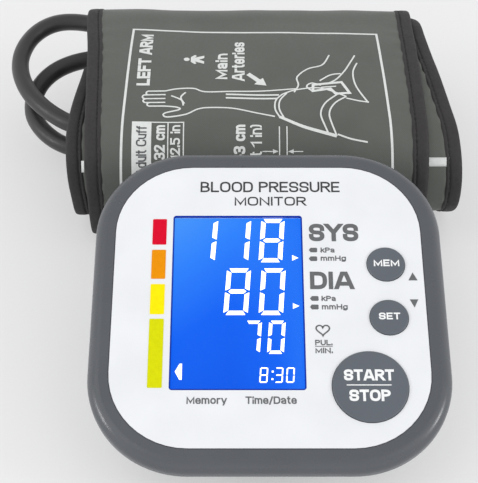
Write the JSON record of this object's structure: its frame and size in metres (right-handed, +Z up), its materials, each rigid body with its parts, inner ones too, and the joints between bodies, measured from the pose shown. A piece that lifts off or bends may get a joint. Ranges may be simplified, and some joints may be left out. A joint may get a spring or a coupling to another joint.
{
  "type": "upper arm blood pressure monitor",
  "caption": "Desktop upper arm blood pressure monitor: rounded square tilted face with a blue back-lit display, round keys and a colour scale, with its rolled cuff and air hose lying behind it.",
  "frame": {"origin": "on the table, at the middle of the object's box without the air hose and its plug", "axes": "+X to the right seen from the front, +Y from the monitor back to the cuff, +Z up"},
  "size_m": [0.2082, 0.2545, 0.061],
  "materials": {
    "bezel_plastic": "satin moulded grey ABS",
    "panel_plastic": "satin moulded white ABS",
    "display_window": "clear acrylic window",
    "lcd_glass": "blue back-lit liquid crystal glass",
    "backlight": "diffusing light guide",
    "frame_plastic": "matte",
    "circuit_board": "green solder mask",
    "component_black": "matte moulded",
    "screw_steel": "zinc plated",
    "case_plastic": "fine textured white ABS",
    "foot_rubber": "matte rubber",
    "battery_can": "plain printed sleeve",
    "contact_metal": "nickel plated",
    "button_plastic": "satin moulded grey ABS",
    "motor_steel": "zinc plated",
    "pump_plastic": "natural acetal",
    "silicone_tube": "translucent silicone",
    "socket_plastic": "dark grey nylon",
    "cuff_fabric": "grey-green coated nylon",
    "cuff_lining": "dark nylon lining",
    "bladder_rubber": "matte rubber",
    "binding_tape": "dark woven binding tape",
    "hook_tape": "hook tape",
    "loop_tape": "brushed loop tape",
    "ring_metal": "nickel plated wire",
    "port_plastic": "moulded",
    "hose_rubber": "smooth matte rubber hose",
    "plug_plastic": "moulded"
  },
  "bodies": {
    "monitor": {"front_bezel": "bezel_plastic", "front_panel": "panel_plastic", "display_window": "display_window", "lcd_glass": "lcd_glass", "lcd_backlight": "backlight", "lcd_frame": "frame_plastic", "main_circuit_board": "circuit_board", "board_components": "component_black", "board_screws": "screw_steel", "beeper": "component_black", "button_switches": "component_black", "rear_case": "case_plastic", "case_screws": "screw_steel", "rubber_feet": "foot_rubber", "battery_cells": "battery_can", "battery_springs": "contact_metal", "battery_contacts": "contact_metal", "pump_motor_can": "motor_steel", "pump_head": "pump_plastic", "release_valve_body": "pump_plastic", "valve_spring": "contact_metal", "pressure_sensor": "component_black", "air_manifold": "pump_plastic", "air_tubes": "silicone_tube", "air_socket": "socket_plastic", "power_jack": "component_black"},
    "memory_button": {"memory_button": "button_plastic"},
    "set_button": {"set_button": "button_plastic"},
    "start_stop_button": {"start_stop_button": "button_plastic"},
    "battery_door": {"battery_door": "case_plastic"},
    "pump_rotor": {"pump_rotor": "motor_steel"},
    "valve_plunger": {"valve_plunger": "screw_steel"},
    "cuff_ring": {"cuff_d_ring": "ring_metal"},
    "cuff": {"cuff_outer_lap": "cuff_fabric", "cuff_middle_lap": "cuff_fabric", "cuff_inner_lap": "cuff_fabric", "cuff_lining": "cuff_lining", "cuff_bladder": "bladder_rubber", "cuff_left_binding": "binding_tape", "cuff_right_binding": "binding_tape", "hook_patch": "hook_tape", "loop_patch": "loop_tape", "ring_sleeve": "cuff_fabric", "bladder_port": "port_plastic", "air_hose": "hose_rubber", "air_plug": "plug_plastic", "plug_seal": "foot_rubber"}
  },
  "joints": [
    {"name": "memory_button_press", "type": "slide", "parent": "monitor", "child": "memory_button", "axis": [0, 0.284, -0.9588], "range_m": [0, 0.0006], "stiffness_N_per_m": 600, "springref_m": -0.0006},
    {"name": "set_button_press", "type": "slide", "parent": "monitor", "child": "set_button", "axis": [0, 0.284, -0.9588], "range_m": [0, 0.0006], "stiffness_N_per_m": 600, "springref_m": -0.0006},
    {"name": "start_stop_button_press", "type": "slide", "parent": "monitor", "child": "start_stop_button", "axis": [0, 0.284, -0.9588], "range_m": [0, 0.0006], "stiffness_N_per_m": 900, "springref_m": -0.0006},
    {"name": "battery_door_hinge", "type": "hinge", "parent": "monitor", "child": "battery_door", "pos_m": [0, -0.0869, 0.0039], "axis": [-1, 0, 0], "range_deg": [0, 80]},
    {"name": "pump_spin", "type": "hinge", "parent": "monitor", "child": "pump_rotor", "pos_m": [0, -0.0152, 0.018], "axis": [1, 0, 0], "continuous": true},
    {"name": "valve_plunger_slide", "type": "slide", "parent": "monitor", "child": "valve_plunger", "axis": [0, 1, 0], "range_m": [0, 0.0008], "stiffness_N_per_m": 150, "springref_m": -0.0004, "deforming": ["valve_spring"]},
    {"name": "cuff_draw_back", "type": "slide", "parent": "monitor", "child": "cuff", "axis": [0, 1, 0], "range_m": [0, 0.12]},
    {"name": "ring_swivel", "type": "hinge", "parent": "cuff", "child": "cuff_ring", "pos_m": [-0.013, 0.0774, 0.0454], "axis": [1, 0, 0], "range_deg": [-10, 0]}
  ]
}
